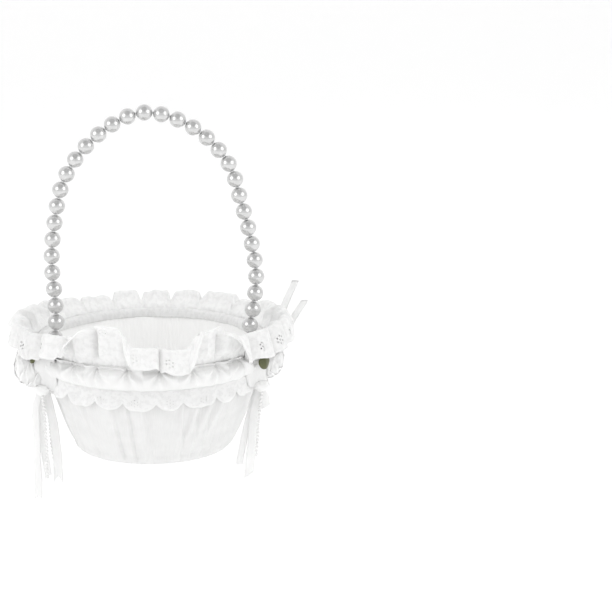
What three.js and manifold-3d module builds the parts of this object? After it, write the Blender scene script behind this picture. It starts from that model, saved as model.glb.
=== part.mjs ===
// A flower girl basket: a stiff tub covered in gathered satin, two lace ruffles and a satin frill round
// its rim, an arched handle of pearls threaded on a wire, and a satin rose at each end of the handle
// with a leaf, a bow, ribbon tails and strands of small pearls.
// Millimetres. The basket is laid out from its resting face at z = 0, and the finished group is then
// lowered so that its origin is the top of the handle's wire, where a hand holds it. +X is to the
// basket's right, +Y to its back and +Z up.
import * as THREE from "three";
import { mergeVertices } from "three/addons/utils/BufferGeometryUtils.js";
import Module from "manifold-3d";

const wasm = await Module();
wasm.setup();

// Driving dimensions.
const GAP = 0.3; // between pieces that touch on the real basket
const ROUND = 36; // sides of a turned piece
const TUB = { height: 78, base: 50, rim: 81, bulge: 4.2, wall: 2, floor: 2.2, corner: 7, flat: 46 };
const CLOTH = 1; // thickness of a layer of cloth with its folds pressed
const HEM = 0.8; // thickness of the skirt's edge turned under the tub
// shift is how far the row of pearls has slid to the right along its wire
const PEARL = { diameter: 12, hole: 3.4, pitch: 12.35, count: 34, shift: 4.8 };
const WIRE = { diameter: 1.8, sides: 8, steps: 80 };
const POCKET = { radius: 2, length: 25 }; // the sewn pockets that hold the wire's legs
const RUFFLE = { bottom: 70.3, seam: 77, edge: { radius: 97.5, height: 98 }, thick: 1.2 };
const FRILL = { top: 76, bottom: 61, thick: 1.6 };
const LACE = { top: 66, bottom: 46, thick: 1 };
const ROSE = { radius: 15, depth: 13.5, height: 68, reach: 89.5 }; // reach is from the basket's middle
// Each leaf's stem, as its reach, its distance forward of the rose's middle and its height.
const LEAF = {
  left: { reach: 94.5, forward: 18, top: 86, length: 14, width: 8 },
  right: { reach: 91, forward: 20, top: 83, length: 16, width: 12 },
};
const SIDE_TURN = THREE.MathUtils.degToRad(18.5); // how far the roses sit forward of the handle
const KNOT = { x: 79.5, y: -30, z: 52.5, width: 10.5, depth: 12, height: 7 };
const RIBBON_THICK = 0.8;
const LOOP = { width: 5, thick: 2.4 }; // a loop of ribbon pressed flat
const STRAND = 2.4; // diameter of a strand of small pearls

// The handle's wire in its own plane, from its left leg over the top to its right leg, as [x, z].
const ARCH = [
  [-64, 40], [-68.6, 53], [-72.3, 65], [-70.6, 78], [-68.9, 92], [-69.3, 110], [-71, 138], [-68.4, 166],
  [-60, 200], [-37, 229.8], [-4, 246.5], [31.4, 236], [57.4, 209], [65.6, 183], [73.4, 152],
  [77, 124], [74, 98], [70.8, 78], [72.3, 65], [68.6, 53], [64, 40],
];

const finish = (color, roughness, metalness = 0) =>
  new THREE.MeshStandardMaterial({ color, roughness, metalness });
const satinCloth = finish(0xf3f3f2, 0.38);
const liningCloth = finish(0xf4f4f3, 0.42);
const laceCloth = finish(0xf6f6f5, 0.8);
const roseCloth = finish(0xeeeeec, 0.4);
const leafCloth = finish(0x5b5e3c, 0.5);
const ribbonCloth = finish(0xededeb, 0.35);
const pearlCoat = finish(0xe4e4e2, 0.18);
const steel = finish(0xb8babc, 0.3, 0.9);
const tubBoard = finish(0xe6e4df, 0.85);

const basket = new THREE.Group();

function place(name, geometry, material, parent = basket) {
  const mesh = new THREE.Mesh(geometry, material);
  mesh.name = name;
  parent.add(mesh);
  return mesh;
}

// A closed mesh as a solid for booleans, and a solid back as a geometry.
function solid(geometry) {
  const bare = geometry.index ? geometry.toNonIndexed() : geometry.clone();
  bare.deleteAttribute("normal");
  bare.deleteAttribute("uv");
  const merged = mergeVertices(bare, 1e-4);
  return new wasm.Manifold(new wasm.Mesh({
    numProp: 3,
    vertProperties: merged.attributes.position.array,
    triVerts: new Uint32Array(merged.index.array),
  }));
}

function shape(made) {
  const mesh = made.getMesh();
  return new THREE.BufferGeometry()
    .setAttribute("position", new THREE.BufferAttribute(mesh.vertProperties, 3))
    .setIndex(new THREE.BufferAttribute(mesh.triVerts, 1));
}

// A profile of [radius, height] points turned about the Z axis. One that doesn't start on the axis is
// a ring's section and is closed here.
function turned(profile, sides = ROUND) {
  const points = profile.map(([radius, height]) => new THREE.Vector2(radius, height));
  if (points[0].x > 0) points.push(points[0].clone());
  return new THREE.LatheGeometry(points, sides).rotateX(Math.PI / 2);
}

// The tub's outer wall, a cone that bulges by a parabola. Everything on the wall is laid out by its
// distance outside it.
function wallRadius(height) {
  const up = height / TUB.height;
  return TUB.base + (TUB.rim - TUB.base) * up + 4 * TUB.bulge * up * (1 - up);
}
const onWall = (height, outside) => [wallRadius(height) + outside, height];

// A line across the floor from radius start, round the tub's lower corner and up the wall to top.
function tubLine(outside, floor, start, top) {
  const [cornerRadius] = onWall(TUB.corner, outside);
  const corner = new THREE.QuadraticBezierCurve(
    new THREE.Vector2(TUB.flat, floor),
    new THREE.Vector2(wallRadius(floor) + outside, floor),
    new THREE.Vector2(cornerRadius, TUB.corner),
  );
  const wall = [0.25, 0.5, 0.75, 1].map((part) => onWall(TUB.corner + part * (top - TUB.corner), outside));
  return [[start, floor], ...corner.getPoints(4).map((p) => [p.x, p.y]), ...wall];
}

// ---- Tub, its covers and its lining ----
function tub() {
  const outer = tubLine(0, TUB.floor, 0, TUB.height);
  const inner = tubLine(-TUB.wall, TUB.floor + TUB.wall, 0, TUB.height);
  return turned([...outer, ...inner.reverse()]);
}

function skirt() {
  const hemEdge = 38; // radius that the cloth is turned in to
  const top = RUFFLE.bottom - GAP;
  const outer = tubLine(GAP + CLOTH, TUB.floor - GAP - HEM, hemEdge, top);
  const inner = tubLine(GAP, TUB.floor - GAP, hemEdge, top);
  return turned([...outer, ...inner.reverse()]);
}

const liningInside = -TUB.wall - GAP - CLOTH; // the lining's inner face, from the tub's outer wall

function lining() {
  const bottom = 7;
  const foldBottom = 71.5;
  const top = TUB.height + GAP;
  return turned([
    ...[0.7, 0.35, 0].map((part) => onWall(bottom + part * (top - bottom), liningInside)),
    ...[0, 0.35, 0.7].map((part) => onWall(bottom + part * (top - bottom), liningInside + CLOTH)),
    [wallRadius(TUB.height) + liningInside + CLOTH, top],
    [wallRadius(TUB.height) + GAP, top],
    onWall(foldBottom, GAP),
    onWall(foldBottom, GAP + CLOTH),
    [wallRadius(TUB.height) + GAP + CLOTH, top + CLOTH],
    [wallRadius(TUB.height) + liningInside, top + CLOTH],
  ]);
}

function disc(radius, bottom, thickness, chamfer = 0.3) {
  const top = bottom + thickness;
  return turned([[0, bottom], [radius - chamfer, bottom], [radius, bottom + chamfer], [radius, top], [0, top]]);
}

// ---- Ruffles and frill, each a ring of cloth with its folds inside its thickness ----
// The middle line of a ring's section, given thickness along its normals.
function clothRing(line, thickness) {
  const middle = line.map(([radius, height]) => new THREE.Vector2(radius, height));
  const side = (way) => middle.map((point, i) => {
    const along = middle[Math.min(i + 1, middle.length - 1)].clone().sub(middle[Math.max(i - 1, 0)]);
    const normal = new THREE.Vector2(along.y, -along.x).normalize();
    return point.clone().addScaledVector(normal, (way * thickness) / 2).toArray();
  });
  return turned([...side(1), ...side(-1).reverse()]);
}

function upperRuffle() {
  const { bottom, seam, edge, thick } = RUFFLE;
  const lift = GAP + CLOTH + GAP + thick / 2;
  return clothRing([
    onWall(bottom, lift),
    onWall(seam, lift + 0.2),
    [wallRadius(TUB.height) + 5.4, 84],
    [edge.radius - 4.5, edge.height - 7],
    [edge.radius, edge.height],
  ], thick);
}

function frill() {
  const { top, bottom, thick } = FRILL;
  const lift = GAP + CLOTH + GAP + RUFFLE.thick + GAP + thick / 2;
  return clothRing([onWall(bottom, lift + 1.6), onWall((top + bottom) / 2, lift + 1.6), onWall(top, lift + 0.3)], thick);
}

function lowerRuffle() {
  const { top, bottom, thick } = LACE;
  const lift = GAP + CLOTH + GAP + thick / 2;
  return clothRing([onWall(bottom, lift + 1), onWall((top + bottom) / 2, lift + 0.6), onWall(top, lift + 0.2)], thick);
}

// ---- Handle ----
const wirePath = new THREE.CatmullRomCurve3(
  ARCH.map(([x, z]) => new THREE.Vector3(x, 0, z)), false, "centripetal",
);
wirePath.arcLengthDivisions = 2000;
const wireLength = wirePath.getLength();

// A round section of that many sides, as a closed shape.
function roundSection(radius, sides) {
  return new THREE.Shape(Array.from({ length: sides }, (_, i) => {
    const turn = (i / sides) * 2 * Math.PI;
    return new THREE.Vector2(radius * Math.cos(turn), radius * Math.sin(turn));
  }));
}

function alongPath(section, path, steps) {
  return new THREE.ExtrudeGeometry(section, { steps, extrudePath: path, bevelEnabled: false });
}

// How far along the wire its highest point is, found by stepping.
function topOfWire() {
  const steps = 4000;
  let best = 0;
  for (let i = 0; i <= steps; i += 1) {
    if (wirePath.getPointAt(i / steps).z > wirePath.getPointAt(best / steps).z) best = i;
  }
  return (best / steps) * wireLength;
}
const gripAlong = topOfWire();
const grip = wirePath.getPointAt(gripAlong / wireLength);

// A pearl with the hole its wire passes through, about the Z axis.
function pearl() {
  const radius = PEARL.diameter / 2;
  const hole = PEARL.hole / 2;
  const mouth = Math.asin(hole / radius);
  const rings = 6;
  const profile = [];
  for (let i = 0; i <= rings; i += 1) {
    const turn = mouth + (i / rings) * (Math.PI - 2 * mouth);
    profile.push([radius * Math.sin(turn), -radius * Math.cos(turn)]);
  }
  return turned(profile, 10);
}

function threadPearls() {
  const geometry = pearl();
  const up = new THREE.Vector3(0, 0, 1);
  for (let i = 0; i < PEARL.count; i += 1) {
    const at = (gripAlong + PEARL.shift + (i - (PEARL.count - 1) / 2) * PEARL.pitch) / wireLength;
    const bead = place(`pearl_${String(i + 1).padStart(2, "0")}`, geometry, pearlCoat);
    bead.position.copy(wirePath.getPointAt(at));
    bead.quaternion.setFromUnitVectors(up, wirePath.getTangentAt(at));
  }
}

// A tube of cloth sewn to the lining, round the end of one of the wire's legs.
function legPocket(side) {
  const parts = 5;
  const points = Array.from({ length: parts + 1 }, (_, i) => {
    const along = (i / parts) * POCKET.length;
    return wirePath.getPointAt((side < 0 ? along : wireLength - along) / wireLength);
  });
  const section = roundSection(POCKET.radius, 10);
  section.holes.push(roundSection(WIRE.diameter / 2 + GAP, 10));
  return alongPath(section, new THREE.CatmullRomCurve3(points), parts);
}

// ---- Rose, leaf and bow, in a frame whose +X points out from the basket at the rose ----
function sideGroup(side) {
  const group = new THREE.Group();
  group.rotation.z = side > 0 ? -SIDE_TURN : Math.PI + SIDE_TURN;
  basket.add(group);
  return group;
}

// Rolled petals inside one rounded outline, its back at x = reach.
function rose() {
  const { radius, depth } = ROSE;
  const dome = turned([
    [0, 0], [radius * 0.6, 0], [radius * 0.95, depth * 0.3], [radius, depth * 0.55],
    [radius * 0.82, depth * 0.85], [radius * 0.45, depth], [0, depth * 0.96],
  ], 20);
  return dome.rotateY(Math.PI / 2);
}

// A pointed leaf lying in the YZ plane, its stem at the origin and its tip below it.
function leaf({ length, width }) {
  const outline = new THREE.Shape();
  outline.moveTo(0, 0);
  outline.bezierCurveTo(width * 0.75, -length * 0.25, width * 0.5, -length * 0.75, 0, -length);
  outline.bezierCurveTo(-width * 0.5, -length * 0.75, -width * 0.75, -length * 0.25, 0, 0);
  return new THREE.ExtrudeGeometry(outline, { depth: CLOTH, bevelEnabled: false, curveSegments: 7 })
    .rotateX(Math.PI / 2);
}

function knot() {
  const { x, y, z, width, depth, height } = KNOT;
  return new THREE.SphereGeometry(1, 12, 8).rotateX(Math.PI / 2)
    .scale(width / 2, depth / 2, height / 2).translate(x, y, z);
}

// A flat band's section with its edges eased.
function bandSection(width, thick) {
  const half = width / 2;
  const through = thick / 2;
  const edge = Math.min(0.15, through / 2);
  return new THREE.Shape([
    [half, edge], [half - edge, through], [edge - half, through], [-half, edge],
    [-half, -edge], [edge - half, -through], [half - edge, -through], [half, -edge],
  ].map(([across, out]) => new THREE.Vector2(out, across)));
}

// The bow: its knot, the strip of ribbon that runs up from it behind the rose, and two loops from the
// strip's top, each given as the route of its middle.
function bow(side, loops) {
  const strip = new THREE.BoxGeometry(RIBBON_THICK, 7, 30)
    .rotateY(0.12).translate(ROSE.reach - 2.2, 0, 66)
    .rotateZ(side > 0 ? -SIDE_TURN : Math.PI + SIDE_TURN);
  const tie = new THREE.BoxGeometry(8, 7, RIBBON_THICK).translate(side * (KNOT.x + 3), KNOT.y, KNOT.z);
  let made = solid(knot());
  if (side < 0) made = made.mirror([1, 0, 0]);
  made = made.add(solid(strip)).add(solid(tie));
  const band = bandSection(LOOP.thick, LOOP.width); // on edge where it leaves the strip
  for (const route of loops) {
    const path = new THREE.CatmullRomCurve3(route.map((point) => new THREE.Vector3(...point)));
    made = made.add(solid(alongPath(band, path, 12)));
  }
  return shape(made);
}

// ---- Ribbon tails and pearl strands ----
// Each hangs in a plane of its own at depth y. Its route is a list of [x, z] points.
function hangingPath(route, y) {
  return new THREE.CatmullRomCurve3(route.map(([x, z]) => new THREE.Vector3(x, y, z)));
}

function ribbonTail(route, y, width) {
  return alongPath(bandSection(width, RIBBON_THICK), hangingPath(route, y), route.length * 2);
}

function pearlStrand(route, y) {
  return alongPath(roundSection(STRAND / 2, 8), hangingPath(route, y), 14);
}

place("basket_shell", tub(), tubBoard);
place("base_cover", disc(46, 0, HEM), satinCloth);
place("base_board", disc(46, TUB.floor + TUB.wall + GAP, 2), liningCloth);
place("satin_skirt", skirt(), satinCloth);
place("satin_lining", lining(), liningCloth);
place("upper_lace_ruffle", upperRuffle(), laceCloth);
place("satin_frill", frill(), satinCloth);
place("lower_lace_ruffle", lowerRuffle(), laceCloth);

place("handle_wire", alongPath(roundSection(WIRE.diameter / 2, WIRE.sides), wirePath, WIRE.steps), steel);
threadPearls();
place("left_handle_pocket", legPocket(-1), liningCloth);
place("right_handle_pocket", legPocket(1), liningCloth);

for (const [name, side] of [["left", -1], ["right", 1]]) {
  const group = sideGroup(side);
  const flower = place(`${name}_rose`, rose(), roseCloth, group);
  flower.position.set(ROSE.reach, 0, ROSE.height);
  const green = place(`${name}_leaf`, leaf(LEAF[name]), leafCloth, group);
  green.position.set(LEAF[name].reach, side * -LEAF[name].forward, LEAF[name].top);
}
place("left_bow", bow(-1, [
  [[-83.2, -26.5, 77], [-91.5, -9, 77], [-101, 6, 79]],
  [[-83.2, -26.5, 74], [-90.4, -7, 73], [-98, 10, 70]],
]), ribbonCloth);
place("right_bow", bow(1, [
  [[83.2, -26.5, 77], [91, -5, 76], [94.5, 17, 80], [98, 29, 92], [107.5, 33, 113]],
  [[83.2, -26.5, 73], [92, -4, 71.5], [99.5, 15, 74], [104, 27, 83], [114.5, 32, 98]],
]), ribbonCloth);

place("left_ribbon_long", ribbonTail(
  [[-82.6, 46.5], [-83.9, 39.6], [-84, 26], [-83.5, 13.7], [-83.9, 1.8], [-83.2, -13.8], [-83.6, -31]],
  -33, 5), ribbonCloth);
place("left_ribbon_short", ribbonTail(
  [[-79.2, 46.5], [-79.6, 36], [-80, 24], [-79.6, 9], [-77.8, -2], [-76, -16]], -30.5, 5), ribbonCloth);
place("left_ribbon_forked", ribbonTail(
  [[-77, 46.5], [-74, 36.7], [-71.6, 24], [-70.2, 9.2], [-69.3, -2], [-69, -20]],
  -28, 6.5), ribbonCloth);
place("right_ribbon_short", ribbonTail([[80.7, 46.5], [81.6, 42], [82, 33.5]], -33, 6.5), ribbonCloth);
place("right_ribbon_wide", ribbonTail(
  [[78, 46.5], [75.6, 40], [73.6, 30.5], [72.6, 17.5], [71.3, 2.5], [69.5, -19]], -30.5, 6.5), ribbonCloth);
place("right_ribbon_narrow", ribbonTail(
  [[77, 46.5], [72.4, 36], [68.4, 21], [65.5, 6], [62.6, -9]], -28, 5), ribbonCloth);

place("left_strand_long", pearlStrand(
  [[-79.2, 46.5], [-77.6, 36], [-77, 20], [-76.4, 6], [-77, -8], [-76.2, -17]], -35.5), pearlCoat);
place("left_strand_short", pearlStrand(
  [[-77, 46.5], [-75, 34], [-74.2, 18], [-73.4, 6], [-72, -4]], -25), pearlCoat);
place("right_strand", pearlStrand(
  [[79.2, 46.5], [77.8, 36], [76.6, 22], [75.8, 10], [74.8, -2]], -35.5), pearlCoat);

basket.position.set(-grip.x, -grip.y, -grip.z);
export default basket;
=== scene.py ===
import bpy
import math
import numpy as np
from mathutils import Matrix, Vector


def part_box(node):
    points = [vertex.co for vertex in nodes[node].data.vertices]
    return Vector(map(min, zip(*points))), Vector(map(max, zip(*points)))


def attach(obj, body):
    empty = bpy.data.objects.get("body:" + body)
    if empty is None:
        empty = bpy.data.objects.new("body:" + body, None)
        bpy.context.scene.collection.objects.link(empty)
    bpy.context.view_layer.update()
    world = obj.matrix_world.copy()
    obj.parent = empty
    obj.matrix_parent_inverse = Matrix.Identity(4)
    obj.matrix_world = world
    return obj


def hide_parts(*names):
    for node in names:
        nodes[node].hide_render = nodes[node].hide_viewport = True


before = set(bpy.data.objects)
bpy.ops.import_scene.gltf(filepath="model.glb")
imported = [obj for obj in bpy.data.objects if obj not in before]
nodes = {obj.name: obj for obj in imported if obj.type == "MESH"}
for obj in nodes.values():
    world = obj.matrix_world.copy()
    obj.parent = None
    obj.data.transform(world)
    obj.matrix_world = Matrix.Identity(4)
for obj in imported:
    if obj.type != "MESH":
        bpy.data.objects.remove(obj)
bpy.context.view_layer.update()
print("frame loaded")

# The basket is drawn in millimetres from the middle of its resting face, then moved into the frame.
baseLow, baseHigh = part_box("base_cover")
basketFoot = np.array([(baseLow[0] + baseHigh[0]) / 2, 0.0, baseLow[2]])
shellLow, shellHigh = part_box("basket_shell")


def inFrame(points):
    return np.asarray(points, float) * 0.001 + basketFoot


def fromFrame(points):
    return (np.asarray(points, float) - basketFoot) * 1000


cameraSettings = {
    "elevation": 14.5,  # degrees above the basket's middle
    "distance": 1800,  # mm, from the basket's axis
    "lens": 145,
    "aim": (113.35, 0.0, 101.97),  # the point at the middle of the frame
}


def addCamera(s):
    rise = math.radians(s["elevation"])
    aim = Vector(inFrame(s["aim"]))
    stand = Vector(inFrame((
        0.0,
        -s["distance"] * math.cos(rise),
        s["aim"][2] + s["distance"] * math.sin(rise),
    )))
    data = bpy.data.cameras.new("camera")
    data.lens = s["lens"]
    data.clip_end = 20
    camera = bpy.data.objects.new("camera", data)
    camera.location = stand
    camera.rotation_euler = (aim - stand).to_track_quat("-Z", "Y").to_euler()
    bpy.context.scene.collection.objects.link(camera)
    bpy.context.scene.camera = camera


addCamera(cameraSettings)
print("camera placed")


# A grid of points[row, column] becomes quads. around closes the columns on themselves, and uv holds the
# width and height that the grid covers in the pattern's own units.
def gridMesh(name, points, material, around=False, uv=(1.0, 1.0), flip=False):
    rows, columns = points.shape[:2]
    index = np.arange(rows * columns).reshape(rows, columns)
    spans = columns if around else columns - 1
    left = index[:, :spans]
    right = np.roll(index, -1, axis=1)[:, :spans]
    corners = [left[:-1], right[:-1], right[1:], left[1:]]
    if flip:
        corners = corners[::-1]
    faces = np.stack(corners, axis=-1).reshape(-1, 4)
    mesh = bpy.data.meshes.new(name)
    mesh.from_pydata(inFrame(points.reshape(-1, 3)).tolist(), [], faces.tolist())
    across = np.arange(spans)[None, :] * np.ones((rows - 1, 1))
    along = np.arange(rows - 1)[:, None] * np.ones((1, spans))
    u = [across, across + 1, across + 1, across]
    v = [along, along, along + 1, along + 1]
    if flip:
        u, v = u[::-1], v[::-1]
    u = np.stack(u, axis=-1).ravel() / spans * uv[0]
    v = np.stack(v, axis=-1).ravel() / (rows - 1) * uv[1]
    layer = mesh.uv_layers.new(name="UVMap")
    layer.data.foreach_set("uv", np.stack([u, v], axis=-1).ravel())
    mesh.polygons.foreach_set("use_smooth", np.ones(len(mesh.polygons), bool))
    mesh.materials.append(material)
    mesh.update()
    piece = bpy.data.objects.new(name, mesh)
    bpy.context.scene.collection.objects.link(piece)
    return piece


def joinPieces(name, parts):
    with bpy.context.temp_override(active_object=parts[0], selected_editable_objects=parts, object=parts[0]):
        bpy.ops.object.join()
    parts[0].name = name
    parts[0].data.name = name
    return parts[0]


def thicken(piece, thickness, offset=0.0):
    solid = piece.modifiers.new("cloth", "SOLIDIFY")
    solid.thickness = thickness * 0.001
    solid.offset = offset
    return piece


def settle(piece, body, slotName, *replaced):
    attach(piece, body)
    if replaced:
        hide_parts(*replaced)
    return piece


# Points at equal steps along a smooth line through the given ones (Catmull-Rom: each stretch is the cubic
# that leaves and arrives along the line between its neighbours).
def smoothLine(points, count):
    p = np.asarray(points, float)
    p = np.vstack([2 * p[0] - p[1], p, 2 * p[-1] - p[-2]])
    t = np.linspace(0, 1, 24, endpoint=False)[None, :, None]
    a, b, c, d = p[:-3, None], p[1:-2, None], p[2:-1, None], p[3:, None]
    line = 0.5 * (2 * b + (c - a) * t + (2 * a - 5 * b + 4 * c - d) * t ** 2
                  + (3 * b - a - 3 * c + d) * t ** 3)
    line = np.vstack([line.reshape(-1, 3), p[-2]])
    gone = np.concatenate([[0], np.cumsum(np.linalg.norm(np.diff(line, axis=0), axis=1))])
    even = np.linspace(0, gone[-1], count)
    return np.stack([np.interp(even, gone, line[:, i]) for i in range(3)], axis=-1), gone[-1]


def smoothStep(x):
    x = np.clip(x, 0, 1)
    return x * x * (3 - 2 * x)


# A sum of a few sines that repeats once round the basket, for folds that are never quite alike.
def wander(angle, seed, waves=(2, 3, 5, 7, 11), fade=0.75):
    rng = np.random.default_rng(seed)
    total = np.zeros_like(angle)
    for i, wave in enumerate(waves):
        total = total + fade ** i * np.sin(wave * angle + rng.uniform(0, 2 * np.pi))
    return total / sum(fade ** i for i in range(len(waves)))


def newMaterial(name):
    material = bpy.data.materials.new(name)
    material.use_nodes = True
    tree = material.node_tree
    return material, tree, tree.nodes["Principled BSDF"]


def feed(tree, socket, value):
    if isinstance(value, (int, float)):
        socket.default_value = value
    else:
        tree.links.new(value, socket)


def calc(tree, operation, a, b=0.0, c=0.0):
    node = tree.nodes.new("ShaderNodeMath")
    node.operation = operation
    for socket, value in zip(node.inputs, (a, b, c)):
        feed(tree, socket, value)
    return node.outputs[0]


def fadeBetween(tree, value, low, high):
    node = tree.nodes.new("ShaderNodeMapRange")
    node.interpolation_type = "SMOOTHSTEP"
    feed(tree, node.inputs["Value"], value)
    node.inputs["From Min"].default_value = low
    node.inputs["From Max"].default_value = high
    return node.outputs["Result"]


def noise(tree, where, scale, detail=3.0, stretch=(1, 1, 1)):
    mapping = tree.nodes.new("ShaderNodeMapping")
    mapping.inputs["Scale"].default_value = stretch
    tree.links.new(where, mapping.inputs["Vector"])
    node = tree.nodes.new("ShaderNodeTexNoise")
    node.inputs["Scale"].default_value = scale
    node.inputs["Detail"].default_value = detail
    tree.links.new(mapping.outputs["Vector"], node.inputs["Vector"])
    return node.outputs["Fac"]


def blendColours(tree, factor, dark, light):
    node = tree.nodes.new("ShaderNodeMix")
    node.data_type = "RGBA"
    feed(tree, node.inputs["Factor"], factor)
    node.inputs["A"].default_value = (*dark, 1)
    node.inputs["B"].default_value = (*light, 1)
    return node.outputs["Result"]


def bump(tree, shader, height, strength, distance):
    node = tree.nodes.new("ShaderNodeBump")
    node.inputs["Strength"].default_value = strength
    node.inputs["Distance"].default_value = distance
    feed(tree, node.inputs["Height"], height)
    tree.links.new(node.outputs["Normal"], shader.inputs["Normal"])


# Satin: long floating threads, so a smooth face with faint streaks along the cloth and a soft gloss.
# uv is in millimetres of cloth.
def satinMaterial(name, s):
    material, tree, shader = newMaterial(name)
    where = tree.nodes.new("ShaderNodeTexCoord").outputs["UV"]
    streaks = noise(tree, where, 1.0, 4.0, (s["streak"], 0.08, 1))
    cloudy = noise(tree, where, 0.08, 2.0)
    weave = noise(tree, where, 1.0, 2.0, (4.5, 1.2, 1))
    colour = blendColours(tree, fadeBetween(tree, calc(tree, "ADD", streaks, cloudy), 0.6, 1.4),
                          s["shade"], s["colour"])
    tree.links.new(colour, shader.inputs["Base Color"])
    rough = calc(tree, "MULTIPLY_ADD", streaks, 0.16, s["roughness"] - 0.08)
    tree.links.new(rough, shader.inputs["Roughness"])
    shader.inputs["Specular IOR Level"].default_value = 0.45
    shader.inputs["Subsurface Weight"].default_value = s["through"]
    shader.inputs["Subsurface Radius"].default_value = (1, 1, 1)
    shader.inputs["Subsurface Scale"].default_value = 0.002
    shader.inputs["Sheen Weight"].default_value = s["sheen"]
    shader.inputs["Sheen Roughness"].default_value = 0.4
    height = calc(tree, "MULTIPLY_ADD", weave, 0.5, streaks)
    bump(tree, shader, height, s["bump"], 0.0002)
    return material


satinWhite = satinMaterial("skirtSatin", {
    "colour": (0.82, 0.82, 0.815), "shade": (0.76, 0.76, 0.755), "roughness": 0.4,
    "sheen": 0.15, "streak": 1.6, "bump": 0.3, "through": 0.0,
})
satinFrillCloth = satinMaterial("frillSatin", {
    "colour": (0.86, 0.86, 0.855), "shade": (0.83, 0.83, 0.825), "roughness": 0.3,
    "sheen": 0.15, "streak": 1.6, "bump": 0.2, "through": 0.0,
})
satinLiningCloth = satinMaterial("liningSatin", {
    "colour": (0.97, 0.97, 0.965), "shade": (0.95, 0.95, 0.945), "roughness": 0.5,
    "sheen": 0.1, "streak": 2.2, "bump": 0.3, "through": 0.0,
})
ribbonSatin = satinMaterial("ribbonSatin", {
    "colour": (0.92, 0.92, 0.915), "shade": (0.87, 0.87, 0.865), "roughness": 0.32,
    "sheen": 0.1, "streak": 2.5, "bump": 0.25, "through": 0.3,
})
roseSatin = satinMaterial("roseSatin", {
    "colour": (0.96, 0.96, 0.955), "shade": (0.93, 0.93, 0.925), "roughness": 0.36,
    "sheen": 0.3, "streak": 2.0, "bump": 0.2, "through": 0.3,
})
leafSatin = satinMaterial("leafSatin", {
    "colour": (0.12, 0.128, 0.05), "shade": (0.075, 0.082, 0.03), "roughness": 0.45,
    "sheen": 0.1, "streak": 3.0, "bump": 0.5, "through": 0.0,
})


# Lace: fine net with embroidery. u counts the scallops, and v is the cloth's depth in millimetres. Each
# scallop has a flower of eyelets: a ring of holes about a middle hole, worked round with thread, and a
# corded edge follows the scallops.
def laceMaterial(name, s):
    material, tree, shader = newMaterial(name)
    where = tree.nodes.new("ShaderNodeTexCoord").outputs["UV"]
    split = tree.nodes.new("ShaderNodeSeparateXYZ")
    tree.links.new(where, split.inputs[0])
    u, v = split.outputs[0], split.outputs[1]
    x = calc(tree, "MULTIPLY", calc(tree, "SUBTRACT", calc(tree, "FRACT", u), 0.5), s["pitch"])
    y = calc(tree, "SUBTRACT", v, s["flowerAt"])
    radius = calc(tree, "SQRT", calc(tree, "ADD", calc(tree, "MULTIPLY", x, x), calc(tree, "MULTIPLY", y, y)))
    turn = calc(tree, "ARCTAN2", y, x)
    petal = calc(tree, "ABSOLUTE", calc(tree, "SUBTRACT", calc(tree, "FRACT", calc(
        tree, "MULTIPLY", turn, s["petals"] / (2 * math.pi))), 0.5))
    sideways = calc(tree, "MULTIPLY", calc(tree, "MULTIPLY", petal, radius), 2 * math.pi / s["petals"])
    outwards = calc(tree, "SUBTRACT", radius, s["ring"])
    toHole = calc(tree, "SQRT", calc(tree, "ADD", calc(tree, "MULTIPLY", sideways, sideways),
                                     calc(tree, "MULTIPLY", outwards, outwards)))
    nearest = calc(tree, "MINIMUM", toHole, radius)
    hole = calc(tree, "LESS_THAN", nearest, s["hole"])
    stitched = calc(tree, "SUBTRACT", 1.0, fadeBetween(tree, nearest, s["hole"] + 0.5, s["hole"] + 1.1))

    # net: the walls between small cells, which are let through
    net = tree.nodes.new("ShaderNodeTexVoronoi")
    net.feature = "DISTANCE_TO_EDGE"
    stretch = tree.nodes.new("ShaderNodeMapping")
    stretch.inputs["Scale"].default_value = (s["pitch"] / s["cell"], 1 / s["cell"], 1)
    tree.links.new(where, stretch.inputs["Vector"])
    tree.links.new(stretch.outputs["Vector"], net.inputs["Vector"])
    net.inputs["Scale"].default_value = 1.0
    net.inputs["Randomness"].default_value = 0.35
    thread = fadeBetween(tree, net.outputs["Distance"], 0.32, 0.12)

    # embroidery: soft leafy blots that fill most of the net
    leafy = noise(tree, where, 1.0, 3.0, (s["pitch"] * 0.28, 0.28, 1))
    worked = fadeBetween(tree, leafy, 0.4, 0.54)
    fill = calc(tree, "MAXIMUM", worked, stitched)
    edge = fadeBetween(tree, v, s["depth"] - 1.8, s["depth"] - 1.0)
    fill = calc(tree, "MAXIMUM", fill, edge)
    cloth = calc(tree, "MAXIMUM", fill, calc(tree, "MULTIPLY", thread, 0.8))
    alpha = calc(tree, "MULTIPLY_ADD", cloth, 1 - s["clear"], s["clear"])
    alpha = calc(tree, "MULTIPLY", alpha, calc(tree, "SUBTRACT", 1.0, hole))
    tree.links.new(alpha, shader.inputs["Alpha"])
    colour = blendColours(tree, fill, s["shade"], s["colour"])
    tree.links.new(colour, shader.inputs["Base Color"])
    shader.inputs["Roughness"].default_value = 0.75
    shader.inputs["Specular IOR Level"].default_value = 0.25
    shader.inputs["Subsurface Weight"].default_value = 0.3
    shader.inputs["Subsurface Radius"].default_value = (1, 1, 1)
    shader.inputs["Subsurface Scale"].default_value = 0.002
    shader.inputs["Sheen Weight"].default_value = 0.2
    height = calc(tree, "ADD", calc(tree, "MULTIPLY", thread, 0.35), calc(tree, "ADD", fill, edge))
    bump(tree, shader, height, 0.14, 0.0003)
    return material


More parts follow.
